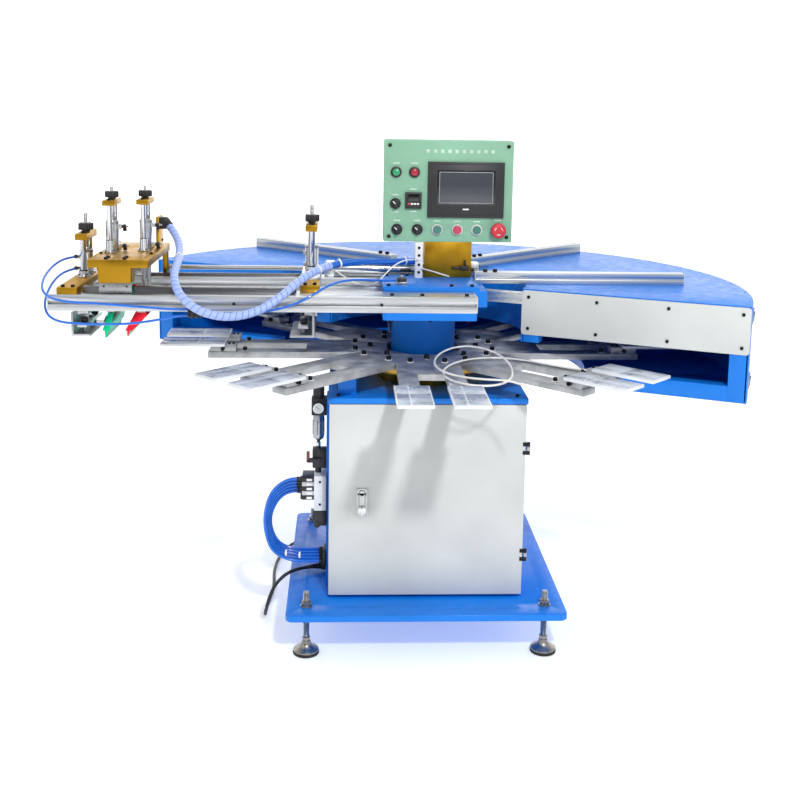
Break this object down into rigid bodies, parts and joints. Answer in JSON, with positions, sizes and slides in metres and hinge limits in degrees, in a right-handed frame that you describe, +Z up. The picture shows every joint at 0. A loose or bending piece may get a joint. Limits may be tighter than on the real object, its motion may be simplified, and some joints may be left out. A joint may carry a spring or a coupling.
{
  "type": "screen printing carousel",
  "caption": "Rotary screen printing machine: forked indexing arms with paired platens, a pneumatic print head on rails, a half-ring drying tunnel, a control box and a cabinet base.",
  "frame": {"origin": "on the floor under the carousel's axis", "axes": "+X to the drying tunnel's mouth, -X to the print head, -Y to the operator, +Z up"},
  "size_m": [1.7919, 1.525, 1.277],
  "materials": {
    "blue_paint": "gloss blue paint",
    "white_paint": "satin off-white powder coat",
    "gold_anodised": "gold anodised",
    "bright_aluminium": "clear anodised",
    "steel": "ground steel",
    "chrome": "hard chromed",
    "gunmetal": "dark zinc plated",
    "cast_housing": "painted casting",
    "mint_paint": "mint powder coat",
    "black_plastic": "moulded black",
    "grey_plastic": "moulded grey",
    "green_anodised": "green anodised",
    "red_anodised": "red anodised",
    "green_plastic": "moulded green",
    "red_plastic": "moulded red",
    "blue_tube": "polyurethane tube",
    "spiral_wrap": "spiral wrapped tubes",
    "white_cable": "pvc sheath",
    "black_rubber": "rubber sheath",
    "platen_face": "milled plate",
    "quartz": "quartz heater tube",
    "electrics": "control modules"
  },
  "bodies": {
    "frame": {"base_plate": "blue_paint", "levelling_feet": "gunmetal", "cabinet_frame": "blue_paint", "cabinet_panels": "white_paint", "cam_indexer": "cast_housing", "gear_motor": "cast_housing", "electrics_tray": "electrics", "center_column": "blue_paint", "head_block": "blue_paint", "print_rails": "bright_aluminium", "stroke_cylinder": "bright_aluminium", "tunnel_roof": "blue_paint", "tunnel_walls": "blue_paint", "tunnel_floor": "blue_paint", "tunnel_cover": "white_paint", "heater_bank": "quartz", "roof_struts": "bright_aluminium", "control_bracket": "gold_anodised", "control_box": "mint_paint", "panel_fittings": "black_plastic", "screen_lift_bases": "gold_anodised", "filter_regulator": "grey_plastic", "valve_manifold": "grey_plastic", "hose_bundle": "spiral_wrap", "rail_hoses": "blue_tube", "signal_leads": "white_cable", "hose_fittings": "black_plastic", "valve_hoses": "blue_tube", "mains_lead": "black_rubber", "mains_coil": "black_rubber", "mains_plug": "black_rubber"},
    "door": {"cabinet_door": "white_paint", "door_hardware": "chrome"},
    "lock": {"lock_lever": "chrome"},
    "index_drive": {"index_shaft": "steel"},
    "carousel": {"table_disc": "gold_anodised", "arms": "bright_aluminium", "arm_screws": "black_plastic", "platens": "platen_face", "sensor_cable": "white_cable"},
    "left_lift": {"left_screen_lift": "bright_aluminium"},
    "right_lift": {"right_screen_lift": "bright_aluminium"},
    "left_knob": {"left_lift_knob": "black_plastic"},
    "right_knob": {"right_lift_knob": "black_plastic"},
    "carriage": {"guide_blocks": "steel", "carriage_saddle": "gold_anodised", "head_cylinders": "bright_aluminium", "stroke_rod": "chrome"},
    "squeegee": {"squeegee_lift": "bright_aluminium", "squeegee_holder": "green_anodised"},
    "squeegee_nut": {"squeegee_knob": "black_plastic"},
    "flood": {"flood_lift": "bright_aluminium", "flood_holder": "red_anodised"},
    "flood_nut": {"flood_knob": "black_plastic"},
    "start_left": {"green_button_left": "green_plastic"},
    "stop_button": {"red_button": "red_plastic"},
    "start_right": {"green_button_right": "green_plastic"},
    "mushroom": {"emergency_stop": "red_plastic"},
    "mode_upper": {"selector_upper": "black_plastic"},
    "mode_left": {"selector_left": "black_plastic"},
    "mode_right": {"selector_right": "black_plastic"}
  },
  "joints": [
    {"name": "table_index", "type": "hinge", "parent": "frame", "child": "carousel", "pos_m": [0, 0, 0.709], "axis": [0, 0, 1], "continuous": true},
    {"name": "index_input", "type": "hinge", "parent": "frame", "child": "index_drive", "pos_m": [0.12, 0, 0.54], "axis": [1, 0, 0], "continuous": true},
    {"name": "carriage_stroke", "type": "slide", "parent": "frame", "child": "carriage", "axis": [1, 0, 0], "range_m": [0, 0.28], "deforming": ["hose_bundle"]},
    {"name": "squeegee_drop", "type": "slide", "parent": "carriage", "child": "squeegee", "axis": [0, 0, -1], "range_m": [0, 0.012]},
    {"name": "flood_drop", "type": "slide", "parent": "carriage", "child": "flood", "axis": [0, 0, -1], "range_m": [0, 0.012]},
    {"name": "squeegee_stop_nut", "type": "hinge", "parent": "squeegee", "child": "squeegee_nut", "pos_m": [-0.804, -0.075, 1.132], "axis": [0, 0, 1], "continuous": true},
    {"name": "flood_stop_nut", "type": "hinge", "parent": "flood", "child": "flood_nut", "pos_m": [-0.727, -0.035, 1.132], "axis": [0, 0, 1], "continuous": true},
    {"name": "left_lift_slide", "type": "slide", "parent": "frame", "child": "left_lift", "axis": [0, 0, 1], "range_m": [0, 0.04]},
    {"name": "right_lift_slide", "type": "slide", "parent": "frame", "child": "right_lift", "axis": [0, 0, 1], "range_m": [0, 0.04]},
    {"name": "left_lift_nut", "type": "hinge", "parent": "left_lift", "child": "left_knob", "pos_m": [-0.88, -0.035, 1.045], "axis": [0, 0, 1], "continuous": true},
    {"name": "right_lift_nut", "type": "hinge", "parent": "right_lift", "child": "right_knob", "pos_m": [-0.298, -0.035, 1.07], "axis": [0, 0, 1], "continuous": true},
    {"name": "door_swing", "type": "hinge", "parent": "frame", "child": "door", "pos_m": [0.2528, -0.249, 0.38], "axis": [0, 0, 1], "range_deg": [0, 110]},
    {"name": "lock_turn", "type": "hinge", "parent": "door", "child": "lock", "pos_m": [-0.163, -0.225, 0.361], "axis": [0, 1, 0], "range_deg": [0, 90]},
    {"name": "press_green_left", "type": "slide", "parent": "frame", "child": "start_left", "axis": [0, 1, 0], "range_m": [0, 0.003], "stiffness_N_per_m": 800},
    {"name": "press_red", "type": "slide", "parent": "frame", "child": "stop_button", "axis": [0, 1, 0], "range_m": [0, 0.003], "stiffness_N_per_m": 800},
    {"name": "press_green_right", "type": "slide", "parent": "frame", "child": "start_right", "axis": [0, 1, 0], "range_m": [0, 0.003], "stiffness_N_per_m": 800},
    {"name": "press_emergency", "type": "slide", "parent": "frame", "child": "mushroom", "axis": [0, 1, 0], "range_m": [0, 0.0045], "stiffness_N_per_m": 1500},
    {"name": "turn_upper", "type": "hinge", "parent": "frame", "child": "mode_upper", "pos_m": [-0.08, 0, 1.11], "axis": [0, 1, 0], "range_deg": [-45, 45]},
    {"name": "turn_left", "type": "hinge", "parent": "frame", "child": "mode_left", "pos_m": [-0.075, 0, 1.042], "axis": [0, 1, 0], "range_deg": [-45, 45]},
    {"name": "turn_right", "type": "hinge", "parent": "frame", "child": "mode_right", "pos_m": [-0.021, 0, 1.042], "axis": [0, 1, 0], "range_deg": [-45, 45]}
  ],
  "couplings": [
    {"joint": "index_input", "follows": "table_index", "ratio": 8},
    {"joint": "right_lift_slide", "follows": "left_lift_slide", "ratio": 1}
  ]
}
